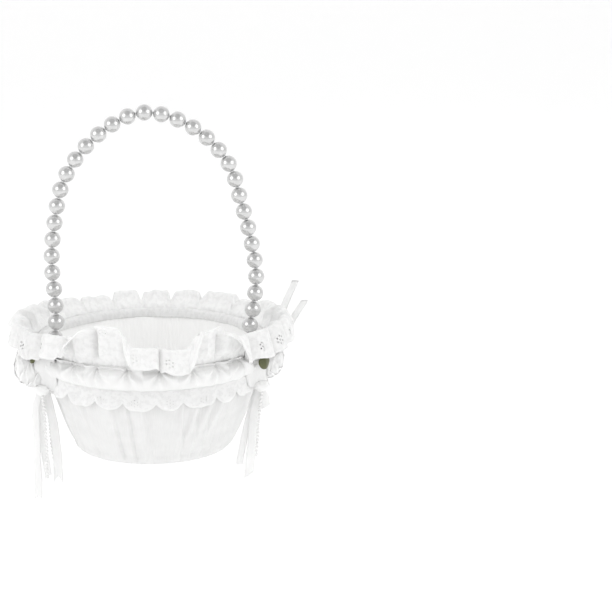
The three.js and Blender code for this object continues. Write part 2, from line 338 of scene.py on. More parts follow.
pearlCoatSettings = {
    "colour": (0.68, 0.68, 0.68), "shade": (0.62, 0.62, 0.618),
    "roughness": 0.1, "metallic": 0.75, "coat": 0.6,
}
beadCoatSettings = {
    "colour": (0.9, 0.9, 0.895), "shade": (0.84, 0.84, 0.835),
    "roughness": 0.25, "metallic": 0.1, "coat": 0.5,
}


# Pearl: a bright coat over a cloudy body, with a glossy clear layer.
def pearlMaterial(name, s):
    material, tree, shader = newMaterial(name)
    where = tree.nodes.new("ShaderNodeTexCoord").outputs["Object"]
    cloudy = noise(tree, where, 260, 3.0)
    tree.links.new(blendColours(tree, fadeBetween(tree, cloudy, 0.3, 0.7), s["shade"], s["colour"]),
                   shader.inputs["Base Color"])
    tree.links.new(calc(tree, "MULTIPLY_ADD", cloudy, 0.1, s["roughness"]), shader.inputs["Roughness"])
    shader.inputs["Metallic"].default_value = s["metallic"]
    shader.inputs["Specular IOR Level"].default_value = 0.7
    shader.inputs["Coat Weight"].default_value = s["coat"]
    shader.inputs["Coat Roughness"].default_value = 0.06
    bump(tree, shader, noise(tree, where, 900, 2.0), 0.03, 0.0002)
    return material


def wireMaterial(name):
    material, tree, shader = newMaterial(name)
    where = tree.nodes.new("ShaderNodeTexCoord").outputs["Object"]
    drawn = noise(tree, where, 900, 3.0, (1, 1, 0.1))
    colour = blendColours(tree, drawn, (0.62, 0.63, 0.64), (0.8, 0.8, 0.8))
    tree.links.new(colour, shader.inputs["Base Color"])
    tree.links.new(calc(tree, "MULTIPLY_ADD", drawn, 0.2, 0.2), shader.inputs["Roughness"])
    shader.inputs["Metallic"].default_value = 1.0
    return material


def tubMaterial(name):
    material, tree, shader = newMaterial(name)
    where = tree.nodes.new("ShaderNodeTexCoord").outputs["Object"]
    grain = noise(tree, where, 500, 4.0)
    colour = blendColours(tree, grain, (0.7, 0.68, 0.64), (0.8, 0.78, 0.74))
    tree.links.new(colour, shader.inputs["Base Color"])
    shader.inputs["Roughness"].default_value = 0.8
    bump(tree, shader, grain, 0.2, 0.0003)
    return material


pearlCoat = pearlMaterial("pearlCoat", pearlCoatSettings)
beadCoat = pearlMaterial("beadCoat", beadCoatSettings)
wireSteel = wireMaterial("wireSteel")
tubBoard = tubMaterial("tubBoard")


def dress(nodeName, material):
    node = nodes[nodeName]
    node.data.materials.clear()
    node.data.materials.append(material)


dress("handle_wire", wireSteel)
dress("basket_shell", tubBoard)
print("materials made")


# The tub's wall, that the cloth is laid on.
wall = {
    "baseRadius": 50.0,
    "rimRadius": (shellHigh[1] - shellLow[1]) * 500,
    "height": (shellHigh[2] - baseLow[2]) * 1000,
    "bulge": 4.2,
    "corner": 7.0,
}


def wallRadius(height):
    up = height / wall["height"]
    straight = wall["baseRadius"] + (wall["rimRadius"] - wall["baseRadius"]) * up
    return straight + 4 * wall["bulge"] * up * (1 - up)


def ringPoints(radius, angle, height):
    return np.stack([radius * np.cos(angle), radius * np.sin(angle), height + 0 * angle], axis=-1)


def aroundAngles(columns):
    return np.linspace(0, 2 * np.pi, columns, endpoint=False)[None, :]


# Where each fold is: the whole part counts the folds and the rest is the place inside one, with the
# spacing pushed about so that no two are the same width.
def foldPhase(angle, count, seed, uneven):
    return count * angle / (2 * np.pi) + uneven * wander(angle, seed)


skirt = {
    "pleats": 34, "perPleat": 22, "rows": 48, "top": 67.0, "hem": 38.0, "lift": 0.7, "depth": 3.9,
    "thickness": 0.35,
    "pad": 2.4,  # mm that the cloth stands off near the bottom
    "rightSwell": 1.2,  # mm that it bellies out at the right, where the folds are loose
    "leftCalm": 0.45,  # how much shallower the pleats are at the left
    # Loose folds that cross the pleats: where each starts, how far it turns on its way down, its width, all
    # in degrees, and its height in mm.
    "looseFolds": [
        (243, 13, 3.0, 2.2), (262, 7, 2.6, 1.4), (289, -5, 2.6, 2.8), (305, -10, 2.6, 3.2),
        (297, -8, 2.0, 2.4), (314, -12, 2.4, 2.6),
        (222, 9, 3.0, 1.6), (20, -8, 2.8, 1.8), (75, 10, 2.4, 2.0), (110, -9, 2.8, 1.8), (160, 8, 2.6, 1.6),
    ],
}


# Down the wall, round the tub's corner by a quarter of an ellipse, and in along its underside. Pleats are
# a saw tooth with a long lit side and a short folded one, leaning over as they go down, and they press
# flat under the tub. Loose folds are bell curves of the angle, and smooth steps swell the cloth out low
# down and at the right.
def makeSkirt(s):
    angle = aroundAngles(s["pleats"] * s["perPleat"])
    v = np.linspace(0, 1, s["rows"])[:, None]
    wallPart, cornerPart = 0.72, 0.14
    down = np.clip(v / wallPart, 0, 1)
    height = s["top"] - (s["top"] - wall["corner"]) * down
    bend = np.clip((v - wallPart) / cornerPart, 0, 1) * np.pi / 2
    inward = np.clip((v - wallPart - cornerPart) / (1 - wallPart - cornerPart), 0, 1)
    floor = 0.6
    cornerIn = 2.5
    height = np.where(v > wallPart, floor + (wall["corner"] - floor) * (1 - np.sin(bend)), height)
    edge = wallRadius(wall["corner"])
    radius = np.where(v > wallPart, edge - cornerIn * (1 - np.cos(bend)), wallRadius(height))
    radius = radius - inward * (edge - cornerIn - s["hem"])
    toRight, toLeft = np.clip(np.cos(angle), 0, 1) ** 1.5, np.clip(-np.cos(angle), 0, 1)
    radius = radius + s["pad"] * smoothStep((down - 0.45) / 0.5) * (1 - inward)
    radius = radius + s["rightSwell"] * toRight * smoothStep((down - 0.1) / 0.3) * (1 - inward)
    lean = 0.5 * wander(angle, 31, (1, 2, 3)) * down
    phase = foldPhase(angle, s["pleats"], 11, 1.5) + lean
    place = phase - np.floor(phase)
    tooth = np.where(place < 0.8, place / 0.8, (1 - place) / 0.2)
    tooth = tooth ** 0.8
    deep = (0.55 + 0.45 * wander(angle, 12, (3, 4, 7, 9))) * (1 - s["leftCalm"] * toLeft)
    deep = deep * (0.55 + 0.45 * smoothStep((down - 0.1) / 0.3))
    press = 1 - 0.85 * smoothStep((v - wallPart - 0.05) / 0.15)
    loose = 0
    for start, turned, width, tall in s["looseFolds"]:
        away = (np.degrees(angle) - start - turned * down + 180) % 360 - 180
        loose = loose + tall * np.exp(-(away / width) ** 2) * np.sin(np.pi * down ** 0.8)
    out = s["lift"] + s["depth"] * deep * tooth * press + loose * press
    flat = smoothStep((v - wallPart) / cornerPart)
    points = ringPoints(radius + out * (1 - flat), angle, height)
    points[..., 2] += 0.25 * tooth * flat
    piece = gridMesh("satinSkirt", points, satinWhite, around=True, uv=(440, 110), flip=True)
    return thicken(piece, s["thickness"])


satinSkirt = settle(makeSkirt(skirt), "basket", "satin", "satin_skirt")

lining = {"gathers": 150, "perGather": 6, "rows": 34, "bottom": 7.5, "inside": 2.9, "fold": 1.6, "depth": 0.7}


# Up the tub's inner wall, over the rim by half a circle, and down the outside behind the frill. Fine
# gathers run straight up, deepest half way.
def makeLining(s):
    angle = aroundAngles(s["gathers"] * s["perGather"])
    v = np.linspace(0, 1, s["rows"])[:, None]
    up = np.clip(v / 0.72, 0, 1)
    over = np.clip((v - 0.72) / 0.18, 0, 1) * np.pi
    fall = np.clip((v - 0.9) / 0.1, 0, 1)
    top = wall["height"] + 0.2
    height = s["bottom"] + (top - s["bottom"]) * up
    middle = wallRadius(wall["height"]) - 1.0
    half = s["inside"] - 1.0 + 0.3
    radius = np.where(v > 0.72, middle - half * np.cos(over), wallRadius(height) - s["inside"] - 0.3)
    height = np.where(v > 0.72, top + s["fold"] * np.sin(over) - 6.5 * fall, height)
    phase = foldPhase(angle, s["gathers"], 21, 2.6)
    fold = 0.5 + 0.5 * np.sin(2 * np.pi * phase)
    strong = 0.5 + 0.5 * wander(angle, 22, (6, 9, 14, 21))
    depth = s["depth"] * (0.35 + 0.65 * strong) * (0.3 + 0.7 * np.sin(np.pi * up) ** 0.5) * (1 - 0.8 * fall)
    points = ringPoints(radius - depth * fold * np.cos(np.clip(over, 0, np.pi)), angle, height)
    piece = gridMesh("satinLining", points, satinLiningCloth, around=True, uv=(480, 92))
    return thicken(piece, 0.3)


satinLining = settle(makeLining(lining), "basket", "lining", "satin_lining")

floorBoard = {"radius": 46.0, "rings": 26, "columns": 144, "thick": 2.0, "puckers": 40}


# A disc of cloth on the board: level in the middle, with puckers towards its edge, where it turns down by a
# quarter of a circle.
def makeDisc(name, s, top, material, under=False):
    angle = aroundAngles(s["columns"])
    v = np.linspace(0, 1, s["rings"])[:, None]
    turn = np.clip((v - 0.9) / 0.1, 0, 1) * np.pi / 2
    edge = s["thick"] * 0.5
    level = s["radius"] - edge
    radius = np.where(v < 0.9, 0.05 + v / 0.9 * level, level + edge * np.sin(turn))
    sink = edge * (1 - np.cos(turn))
    pucker = 0.18 * np.sin(s["puckers"] * angle + 2 * wander(angle, 41)) * np.clip((v - 0.3) / 0.6, 0, 1) ** 2
    height = top - sink + np.where(v < 0.97, pucker, 0)
    if under:
        height = 2 * top - height
    piece = gridMesh(name, ringPoints(radius, angle, height), material, around=True, uv=(150, 46), flip=under)
    return thicken(piece, s["thick"] * 0.4, offset=-1.0)


boardLow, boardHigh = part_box("base_board")
boardCloth = settle(makeDisc("boardCloth", floorBoard, (boardHigh[2] - basketFoot[2]) * 1000,
                             satinLiningCloth), "basket", "lining", "base_board")
baseDisc = dict(floorBoard, thick=1.6, puckers=52)
baseCloth = makeDisc("baseCloth", baseDisc, 0.2, satinWhite, under=True)
settle(baseCloth, "basket", "satin", "base_cover")
print("tub covered")

# Tucks in the frill, with one scallop of the upper ruffle over each stretch between them. start turns them
# round the rim, in tucks.
gathers = {"count": 24, "seed": 91, "uneven": 0.3, "start": -0.187}


def tuckPhase(angle):
    return gathers["start"] + foldPhase(angle, gathers["count"], gathers["seed"], gathers["uneven"])


upperRuffle = {
    "scallops": gathers["count"], "perScallop": 34, "rows": 56, "depth": 43.0, "start": (82.4, 72.0),
    "roll": 9.0, "notch": 2.5, "backNotch": 6.5, "thickness": 0.3,
    "heading": [(76.6, 75.6), (77.3, 79.0), (79.0, 81.0), (82.0, 81.4), (84.6, 80.2)],  # radius and height
    # Place round the rim in degrees from the right, mm of cloth, mm of that before the roll, and the lean
    # and the droop in degrees from level. The lace stands up beside the middle of the front and flops over
    # in the middle and at the sides.
    "poses": [
        (0, 43, 25, 70, -60), (45, 43, 20, 66, -58), (90, 43, 17.5, 66, -55), (135, 43, 20, 66, -58),
        (180, 43, 25, 70, -64), (198, 46, 24, 73, -76), (216, 49, 25, 76, -78), (227, 49, 26, 77, -77),
        (236, 46, 28, 80, -20),
        (242, 43, 30, 84, 40), (256, 43, 30, 86, 30), (261, 43, 23, 80, -76), (286, 43, 22, 80, -78),
        (292, 43, 28, 84, 15), (299, 44, 29, 81, 30), (306, 46, 28, 78, -30), (313, 50, 25, 76, -74),
        (326, 51, 24, 76, -78), (342, 48, 24, 73, -76), (360, 43, 25, 70, -60),
    ],
}
laceUpper = laceMaterial("laceUpper", {
    "pitch": 25.0, "depth": upperRuffle["depth"], "flowerAt": 35.5, "petals": 6, "ring": 2.5, "hole": 0.62,
    "cell": 1.1, "clear": 0.93, "colour": (0.885, 0.885, 0.88), "shade": (0.86, 0.86, 0.855),
})
lowerRuffle = {
    "scallops": 20, "perScallop": 32, "rows": 24, "depth": 19.0, "top": 66.5, "thickness": 0.3,
}
laceLower = laceMaterial("laceLower", {
    "pitch": 24.0, "depth": lowerRuffle["depth"], "flowerAt": 13.0, "petals": 6, "ring": 2.4, "hole": 0.42,
    "cell": 1.1, "clear": 0.93, "colour": (0.91, 0.91, 0.905), "shade": (0.88, 0.88, 0.875),
})


# The cloth's section rises from the seam, rolls over a crest and droops: its heading is lean, then turns to
# droop by a smooth step along the roll, and the section is the running sum of that heading. Each scallop is
# a lobe that bows out, and between two lobes a narrow fold is pulled in and stands lower.
def makeUpperRuffle(s):
    angle = aroundAngles(s["scallops"] * s["perScallop"])
    v = np.linspace(0, 1, s["rows"])[:, None]
    phase = tuckPhase(angle)
    across = 2 * (phase - np.floor(phase)) - 1
    slit = np.exp(-((1 - np.abs(across)) / 0.16) ** 2)
    bell = 1 - across ** 2
    each = np.floor(phase)
    varied = np.sin(each * 2.4) * 0.5 + np.sin(each * 5.1 + 1) * 0.5
    backShare = np.clip(np.sin(angle), 0, 1) ** 1.3
    place = np.array(s["poses"])[:, 0]
    cloth, rise, lean, droop = (
        np.interp(np.degrees(angle), place, values) for values in np.array(s["poses"]).T[1:])
    notch = s["notch"] + (s["backNotch"] - s["notch"]) * backShare
    rise = rise + 1.8 * varied * bell - notch * slit + 0.8 * wander(angle, 55)
    lean = lean + 3 * varied + 3 * slit
    droop = droop + 10 * varied * bell
    length = cloth * (1 - 0.06 * np.abs(across) ** 3 - 0.02 * varied)
    gone = v * length
    turn = smoothStep((gone - rise) / s["roll"])
    heading = np.radians(lean + (droop - lean) * turn)
    step = np.vstack([np.zeros_like(angle), np.ones((s["rows"] - 1, 1)) * length / (s["rows"] - 1)])
    outward = np.cumsum(step * np.cos(heading), axis=0)
    upward = np.cumsum(step * np.sin(heading), axis=0)
    loose = smoothStep((gone - 11) / 7)
    ripple = wander(angle, 53, (31, 43, 57, 71), 0.9) * 1.5 * loose
    crease = wander(angle, 54, (97, 131, 163), 0.9) * (0.35 + 0.25 * np.sin(5 * v + 3 * wander(angle, 56)))
    bow = (3.8 * bell ** 0.6 - 1.5 * slit) * loose
    radius = s["start"][0] + outward + ripple + crease + bow
    height = s["start"][1] + upward + 0.4 * ripple
    points = ringPoints(radius, angle, height)
    piece = gridMesh("laceUpperRuffle", points, laceUpper, around=True, uv=(s["scallops"], s["depth"]))
    return thicken(piece, s["thickness"])


# The ruffle's heading: a strip of the same lace from inside the rim, over the lining's fold, to the ruffle,
# along a smooth line in section with small gathers.
def makeHeading(s):
    section = smoothLine([(r, 0, z) for r, z in s["heading"]], 14)[0]
    angle = aroundAngles(s["scallops"] * 16)
    v = np.linspace(0, 1, 14)[:, None]
    gather = 0.35 * wander(angle, 57, (83, 109, 127), 0.9) + 0.5 * wander(angle, 58, (7, 13, 19))
    radius = section[:, :1] + gather * np.cos(np.pi * v)
    height = section[:, 2:] + 0.5 * gather * (1 - v)
    points = ringPoints(radius, angle, height)
    piece = gridMesh("heading", points, laceUpper, around=True, uv=(s["scallops"], 9))
    return thicken(piece, s["thickness"])


laceUpperRuffle = joinPieces("laceUpperRuffle", [makeUpperRuffle(upperRuffle), makeHeading(upperRuffle)])
settle(laceUpperRuffle, "basket", "lace", "upper_lace_ruffle")


# Hangs down the wall from under the frill, flaring a little in soft folds, with round scallops.
def makeLowerRuffle(s):
    angle = aroundAngles(s["scallops"] * s["perScallop"])
    v = np.linspace(0, 1, s["rows"])[:, None]
    phase = foldPhase(angle, s["scallops"], 61, 0.5)
    across = 2 * (phase - np.floor(phase)) - 1
    valley = np.abs(across) ** 3
    each = np.floor(phase)
    varied = np.sin(each * 3.3 + 0.7)
    length = s["depth"] * (1 - 0.28 * valley + 0.04 * varied)
    height = s["top"] - length * v
    fold = 2.0 * v ** 1.3 * (1 - valley) + 1.0 * v * wander(angle, 62, (33, 47, 59), 0.9)
    radius = wallRadius(height) + 3.0 + 1.2 * v + fold
    points = ringPoints(radius, angle, height)
    piece = gridMesh("laceLowerRuffle", points, laceLower, around=True, uv=(s["scallops"], s["depth"]),
                     flip=True)
    return thicken(piece, s["thickness"])


laceLowerRuffle = settle(makeLowerRuffle(lowerRuffle), "basket", "lace", "lower_lace_ruffle")
print("lace made")

frill = {
    "perTuck": 36, "rows": 44, "top": 80.6, "seam": 78.3, "bottom": 63.2, "lift": 4.6, "rays": 7.0,
    "thickness": 0.35,
}


# Over the seam a small heading stands between the tucks. Under it the cloth fans out from each tuck: the
# folds are waves of the angle about the tuck, strongest near it, on a band that swells and comes back in.
def makeFrill(s):
    angle = aroundAngles(gathers["count"] * s["perTuck"])
    v = np.linspace(0, 1, s["rows"])[:, None]
    height = s["top"] + (s["bottom"] - s["top"]) * v + 0 * angle
    phase = tuckPhase(angle)
    across = 2 * (phase - np.floor(phase)) - 1
    fromTuck = (1 - np.abs(across)) * np.sign(across)
    halfPitch = np.pi * 85 / gathers["count"]
    x = fromTuck * halfPitch
    below = np.clip(s["seam"] - height, 0, None)
    above = np.clip(height - s["seam"], 0, None)
    rayAngle = np.arctan2(x, below + 0.8)
    reach = np.sqrt(x ** 2 + below ** 2)
    fan = np.cos(s["rays"] * rayAngle + 1.7 * np.sin(np.floor(phase + 0.5) * 2.1))
    fan = fan * np.exp(-((reach - 6.5) / 8.0) ** 2)
    tuck = np.exp(-(x / 1.0) ** 2) * np.exp(-(height - s["seam"]) ** 2 / 30)
    t = np.clip(below / (s["seam"] - s["bottom"]), 0, 1)
    swell = 3.0 * np.sin(np.pi * np.clip(t, 0, 1) ** 0.8) + 1.0 * t
    seamPress = 1.5 * np.exp(-((height - s["seam"]) / 1.3) ** 2)
    heading = above * 0.35 * (1 - across ** 4) * (0.6 + 0.4 * np.sin(np.floor(phase) * 1.9))
    hem = -1.4 * smoothStep((t - 0.86) / 0.14)
    radius = wallRadius(np.minimum(height, wall["height"])) + s["lift"] + swell + 1.5 * fan
    radius = radius - 2.1 * tuck - seamPress + heading + hem + 0.3 * wander(angle, 72, (37, 53, 71)) * t
    points = ringPoints(radius, angle, height)
    piece = gridMesh("satinFrill", points, satinFrillCloth, around=True, uv=(540, 24), flip=True)
    return thicken(piece, s["thickness"])


satinFrill = settle(makeFrill(frill), "basket", "satin", "satin_frill")
print("frill made")

pearls = {"count": 34, "hole": 1.0, "columns": 32, "rows": 20}
pearlNames = [f"pearl_{i + 1:02d}" for i in range(pearls["count"])]


def nodeMiddle(name):
    low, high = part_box(name)
    return (np.array(low) + np.array(high)) / 2


# A ball turned about the wire, from one mouth of its hole to the other, with the hole's wall joining them.
def makePearls(s):
    centres = fromFrame([nodeMiddle(name) for name in pearlNames])
    ways = np.gradient(centres, axis=0)
    ways /= np.linalg.norm(ways, axis=1)[:, None]
    radius = 6.0
    mouth = math.asin(s["hole"] / radius)
    turn = np.linspace(mouth, math.pi - mouth, s["rows"])
    profile = np.stack([radius * np.sin(turn), -radius * np.cos(turn)], axis=-1)
    profile = np.vstack([profile, profile[:1]])
    reach, climb = profile[:, :1], profile[:, 1:]
    angle = aroundAngles(s["columns"])
    side = np.array([0.0, 1.0, 0.0])
    for name, centre, way in zip(pearlNames, centres, ways):
        other = np.cross(way, side)
        ring = (reach * np.cos(angle))[..., None] * side + (reach * np.sin(angle))[..., None] * other
        points = centre + ring + (climb + 0 * angle)[..., None] * way
        piece = gridMesh(name.replace("_", ""), points, pearlCoat, around=True)
        settle(piece, "basket", "pearl", name)


makePearls(pearls)
print("pearls threaded")

# Pockets that hold the wire.
pocket = {"radius": 2.1, "rows": 26, "columns": 24}


# A sleeve of lining cloth along the wire's leg, with shallow creases round it.
def makePocket(side, s):
    name = f"{side}_handle_pocket"
    low, high = (fromFrame(p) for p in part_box(name))
    inner, outer = (high[0], low[0]) if side == "left" else (low[0], high[0])
    thick = 2.0 * np.sign(outer)
    foot = np.array([inner + thick, 0.0, low[2]])
    head = np.array([outer - thick, 0.0, high[2]])
    v = np.linspace(0, 1, s["rows"])[:, None]
    angle = aroundAngles(s["columns"])
    line = foot + (head - foot) * v
    radius = s["radius"] + 0.15 * np.sin(9 * v * 2 * np.pi + 3 * np.sin(angle)) - 0.25 * (2 * v - 1) ** 8
    offset = np.stack([radius * np.cos(angle), radius * np.sin(angle), 0 * radius * angle], axis=-1)
    points = line[:, None, :] + offset
    piece = gridMesh(f"{side}Pocket", points, satinLiningCloth, around=True, uv=(13, 25))
    thicken(piece, 0.35, offset=-1.0)
    return settle(piece, "basket", "lining", name)


makePocket("left", pocket)
makePocket("right", pocket)

sides = {
    "turn": 18.5,  # degrees that the roses sit forward of the handle
    "left": {"reach": 89.5, "height": 68.0, "size": 1.0},
    "right": {"reach": 87.5, "height": 70.5, "size": 0.92},  # pressed in a little under the lace
}


# Axes of a side: out from the basket, along the wall, and up.
def sideAxes(side):
    turn = math.radians(sides["turn"])
    sign = 1 if side == "right" else -1
    out = np.array([sign * math.cos(turn), -math.sin(turn), 0])
    along = np.array([-math.sin(turn) * sign, -math.cos(turn), 0]) * sign
    return out, along, np.array([0.0, 0.0, 1.0])


def onSide(side, out, along, up):
    axisOut, axisAlong, axisUp = sideAxes(side)
    return (np.asarray(out)[..., None] * axisOut + np.asarray(along)[..., None] * axisAlong
            + np.asarray(up)[..., None] * axisUp)


rose = {"petals": 19, "radius": 15.5, "depth": 13.5, "rows": 14, "columns": 20}


# Each petal is a patch of a flattened ball about the rose's axis. tilt is its place from the front of the
# ball, from the foot behind to the lip before, and each lip lies over the feet of the petals inside it.
# Petals climb round by the golden angle, the later ones further back, and a plain ball under them, the
# heart, closes the gaps.
def makeRose(side, s):
    place = sides[side]
    middleUp = np.array([0, 0, place["height"]])
    flat = s["depth"] / s["radius"]
    v = np.linspace(0, 1, s["rows"])[:, None]
    u = np.linspace(-1, 1, s["columns"])[None, :]
    parts = []
    for k in range(s["petals"]):
        grown = (k + 0.5) / s["petals"]
        middle = k * math.radians(137.5) + (0.6 if side == "left" else 0.0)
        lip = math.radians(6 + 72 * grown ** 0.75)
        tilt = lip + math.radians(36) * (1 - v) + math.radians(15) * u ** 2 * v
        tilt = np.minimum(tilt, math.radians(98))
        turn = middle + u * (1.5 - 0.8 * grown) * (1 - 0.25 * v ** 3)
        radius = s["radius"] - 0.75 + 0.35 * v - 0.4 * u ** 2 + 0.2 * np.sin(4 * u + k) * v
        radius = (radius + 1.1 * smoothStep((v - 0.72) / 0.28)) * place["size"]
        out = radius * np.cos(tilt) * flat
        cup = radius * np.sin(tilt)
        points = middleUp + onSide(side, place["reach"] + out, cup * np.cos(turn), cup * np.sin(turn))
        parts.append(gridMesh("petal", points, roseSatin, uv=(22, 16)))
    tilt = np.linspace(0.01, math.radians(98), s["rows"])[:, None]
    turn = aroundAngles(3 * s["columns"])
    heart = (s["radius"] - 0.6 + 0.2 * np.sin(5 * turn + 6 * tilt)) * place["size"]
    cup = heart * np.sin(tilt)
    out = heart * np.cos(tilt) * flat
    points = middleUp + onSide(side, place["reach"] + out, cup * np.cos(turn), cup * np.sin(turn))
    parts.append(gridMesh("heart", points, roseSatin, around=True, uv=(70, 20)))
    piece = joinPieces(f"{side}Rose", parts)
    thicken(piece, 0.35)
    return settle(piece, "basket", "rose", f"{side}_rose")


leaf = {
    "rows": 22, "columns": 15, "fold": 1.8,
    # from and to are shares of the frame's length, down from its top
    "left": {"from": 0.08, "to": 0.76, "across": (0.6, -0.8, 0)},
    "right": {"from": 0.3, "to": 0.9, "across": (-0.65, -0.76, 0)},
}


# Width is the root of a sine along the leaf, blunt at its tip, and the leaf is creased along its middle and
# curls out.
def makeLeaf(side, s):
    v = np.linspace(0, 1, s["rows"])[:, None]
    u = np.linspace(-1, 1, s["columns"])[None, :]
    low, high = (fromFrame(p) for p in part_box(f"{side}_leaf"))
    tall = high[2] - low[2]
    stem = np.array([(low[0] + high[0]) / 2, (low[1] + high[1]) / 2, high[2] - s[side]["from"] * tall])
    length = (s[side]["to"] - s[side]["from"]) * tall
    width = math.hypot(high[0] - low[0], high[1] - low[1])
    half = width / 2 * np.sin(np.pi * (0.03 + 0.955 * v)) ** 0.55
    out = s["fold"] * (1 - np.abs(u)) ** 0.8 * np.sin(np.pi * v) + 1.2 * v ** 2 + 0.2 * np.sin(9 * v + 2 * u)
    across = (half * u)[..., None] * np.array(s[side]["across"])
    points = stem + across + onSide(side, out, 0 * out, -length * v + 0 * u)
    piece = gridMesh(f"{side}Leaf", points, leafSatin, uv=(12, 16))
    thicken(piece, 0.4)
    return settle(piece, "basket", "leaf", f"{side}_leaf")


# A ribbon along a line: widthWays are the directions across it. Its length is cut down across its width by
# a slant, or by a notch when it is a fishtail, and the ribbon is crowned a little across.
def ribbonMesh(name, line, widthWays, width, slant=0.0, notch=0.0, crown=0.35, material=None):
    line = np.asarray(line, float)
    u = np.linspace(-1, 1, 9)[None, :]
    gone = np.concatenate([[0], np.cumsum(np.linalg.norm(np.diff(line, axis=0), axis=1))])
    cut = slant * (u + 1) / 2 + notch * (1 - np.abs(u))
    at = gone[:, None] * (1 - cut / gone[-1])
    middle = np.stack([np.interp(at, gone, line[:, i]) for i in range(3)], axis=-1)
    across = np.stack([np.interp(at, gone, widthWays[:, i]) for i in range(3)], axis=-1)
    along = np.gradient(line, axis=0)
    along = np.stack([np.interp(at, gone, along[:, i]) for i in range(3)], axis=-1)
    face = np.cross(along, across)
    face /= np.linalg.norm(face, axis=-1)[..., None]
    points = middle + across * (u * width / 2)[..., None] + face * (crown * (1 - u ** 2))[..., None]
    piece = gridMesh(name, points, material or ribbonSatin, uv=(width, gone[-1]))
    return thicken(piece, 0.3)


knot = {"x": 79.0, "y": -33.0, "z": 52.5, "half": (6.0, 7.0, 5.0)}


# The bow's knot: a fat band of ribbon pulled round the others, a ball drawn out from front to back with
# creases along it.
def knotMesh(side):
    sign = 1 if side == "right" else -1
    v = np.linspace(0, 1, 26)[:, None]
    angle = aroundAngles(40)
    bend = np.clip(v, 0.0005, 0.9995) * np.pi
    crease = 1 + 0.07 * np.cos(7 * angle + 2 * v) + 0.03 * np.sin(11 * angle)
    radius = np.sin(bend) ** 0.7 * crease
    points = np.stack([
        sign * knot["x"] + knot["half"][0] * radius * np.cos(angle),
        knot["y"] - knot["half"][1] * np.cos(bend) + 0 * angle,
        knot["z"] + knot["half"][2] * radius * np.sin(angle),
    ], axis=-1)
    return gridMesh("knot", points, ribbonSatin, around=True, uv=(30, 12))


# A loop is a hairpin of ribbon: out along its route on one side, round its tip, and back on the other.
def loopMesh(route, width, gape, widthWay):
    line = smoothLine(route, 40)[0]
    along = np.gradient(line, axis=0)
    apart = np.cross(along, widthWay)
    apart /= np.linalg.norm(apart, axis=1)[:, None]
    t = np.linspace(0, 1, 40)[:, None]
    gapeHere = gape * np.sqrt(np.clip(t, 0, 1)) * np.sqrt(np.clip(1 - t ** 6, 0, 1))
    hairpin = np.vstack([line + apart * gapeHere, (line - apart * gapeHere)[::-1][1:]])
    ways = np.tile(np.asarray(widthWay, float), (len(hairpin), 1))
    return ribbonMesh("loop", hairpin, ways, width)


# A strip lies behind the rose, and a broad band fills the space between the rose and the frill.
bowStrip = {"width": 12.0, "crown": 1.2, "route": [(82.5, -27, 84), (83.5, -27.5, 72), (81.5, -28.5, 54)]}
bowBand = {
    "width": 16.0, "crown": 1.0,
    "left": [(-76, -50, 85), (-76, -48, 72), (-75, -42, 60), (-76, -35, 51)],
    "right": [(73.5, -51, 83), (74, -48.5, 71), (75, -42, 60), (77.5, -35, 51)],
}
bowLoops = {
    "width": 5.0, "gape": 1.3,
    "left": [
        [(-83.2, -26.5, 77), (-91.5, -9, 77), (-101, 6, 79)],
        [(-83.2, -26.5, 74), (-90.4, -7, 73), (-98, 10, 70)],
    ],
    "right": [
        [(83.2, -26.5, 77), (91, -5, 76), (94.5, 17, 80), (98, 29, 92), (107.5, 33, 113)],
        [(83.2, -26.5, 73), (92, -4, 71.5), (99.5, 15, 74), (104, 27, 83), (114.5, 32, 98)],
    ],
}


def makeBow(side):
    sign = 1 if side == "right" else -1
    parts = [knotMesh(side)]
    for route in bowLoops[side]:
        widthWay = np.array([0.94, -0.34, 0.0]) if side == "right" else np.array([0.2, 0.2, 0.96])
        parts.append(loopMesh(route, bowLoops["width"], bowLoops["gape"], widthWay))
    strip = smoothLine(np.array(bowStrip["route"]) * (sign, 1, 1), 24)[0]
    stripWay = np.tile(sideAxes(side)[1], (24, 1))
    parts.append(ribbonMesh("strip", strip, stripWay, bowStrip["width"], crown=bowStrip["crown"]))
    band = smoothLine(bowBand[side], 24)[0]
    bandWay = np.tile([0.92, 0.4 * sign, 0.0], (24, 1))
    parts.append(ribbonMesh("band", band, bandWay, bowBand["width"], crown=-bowBand["crown"]))
    bare = []
    for part in parts:
        bpy.context.view_layer.update()
        with bpy.context.temp_override(active_object=part, selected_editable_objects=[part], object=part):
            for modifier in list(part.modifiers):
                bpy.ops.object.modifier_apply(modifier=modifier.name)
        bare.append(part)
    piece = joinPieces(f"{side}Bow", bare)
    return settle(piece, "basket", "ribbon", f"{side}_bow")


for side in ("left", "right"):
    makeRose(side, rose)
    makeLeaf(side, leaf)
    makeBow(side)
print("roses, leaves and bows made")

